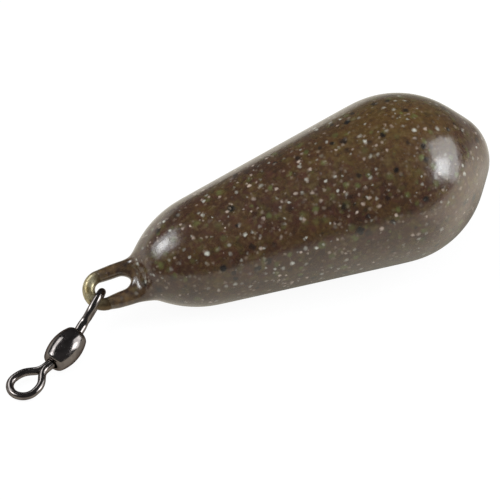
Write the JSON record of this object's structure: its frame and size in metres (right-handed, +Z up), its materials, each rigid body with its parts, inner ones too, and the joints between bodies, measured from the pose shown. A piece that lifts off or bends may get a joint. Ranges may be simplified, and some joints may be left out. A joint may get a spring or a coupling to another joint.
{
  "type": "fishing weight",
  "caption": "Pear-shaped coated lead fishing weight with a cast-in wire loop and a hooked rolling swivel whose eye takes the line.",
  "frame": {"origin": "middle of the flat strip of coat that the weight lies on", "axes": "+X along the weight from its loop towards its nose, +Z up from the surface it lies on"},
  "size_m": [0.0603, 0.0191, 0.0186],
  "materials": {
    "lead": "dull grey cast lead",
    "coat": "glossy dark brown with white, black and green specks",
    "loop_wire": "tarnished brass wire",
    "dark_nickel": "bright black nickel plate on brass"
  },
  "bodies": {
    "weight": {"lead_core": "lead", "speckled_coat": "coat", "wire_loop": "loop_wire"},
    "upper_eye": {"swivel_upper_eye": "dark_nickel"},
    "barrel": {"swivel_barrel": "dark_nickel"},
    "lower_eye": {"swivel_lower_eye": "dark_nickel"}
  },
  "joints": [
    {"name": "eye_swing", "type": "hinge", "parent": "weight", "child": "upper_eye", "pos_m": [-0.0246, -0.00097, 0.00363], "axis": [0.6722, -0.6626, -0.3302], "range_deg": [-135, 160]},
    {"name": "barrel_spin", "type": "hinge", "parent": "upper_eye", "child": "barrel", "pos_m": [-0.02993, -0.00505, 0.00186], "axis": [0.8389, 0.4996, 0.216], "continuous": true},
    {"name": "lower_eye_spin", "type": "hinge", "parent": "barrel", "child": "lower_eye", "pos_m": [-0.03146, -0.00596, 0.00146], "axis": [0.9158, 0.3694, 0.1576], "continuous": true}
  ]
}
